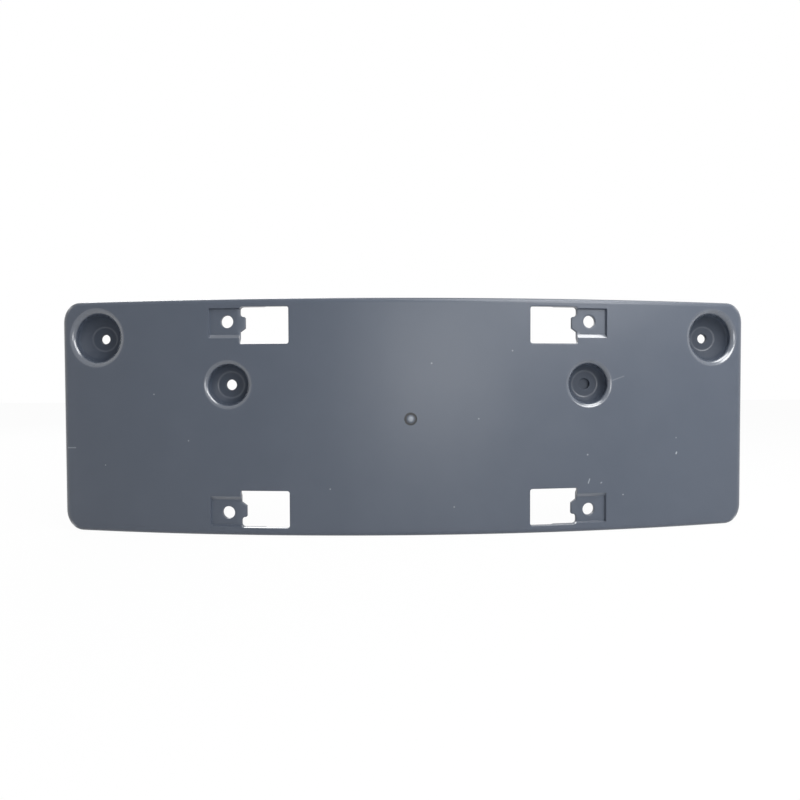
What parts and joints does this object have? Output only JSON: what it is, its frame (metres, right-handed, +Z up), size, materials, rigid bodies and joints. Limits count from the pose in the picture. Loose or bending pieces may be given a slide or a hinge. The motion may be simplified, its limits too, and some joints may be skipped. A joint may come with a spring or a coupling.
{
  "type": "number plate holder",
  "caption": "Bowed rectangular plastic base plate that screws to a car bumper and carries a number plate, with rim, windows, recessed nut seats and deep screw pockets.",
  "frame": {"origin": "middle of the four number plate screws' pattern, level with the floors of their seats", "axes": "+X along the plate to the right as seen from the front, +Y from the front face back towards the bumper, +Z up"},
  "size_m": [0.415, 0.0353, 0.136],
  "materials": {
    "plastic": "satin dark grey injection-moulded plastic"
  },
  "bodies": {
    "root": {"plate_holder": "plastic"}
  },
  "joints": []
}
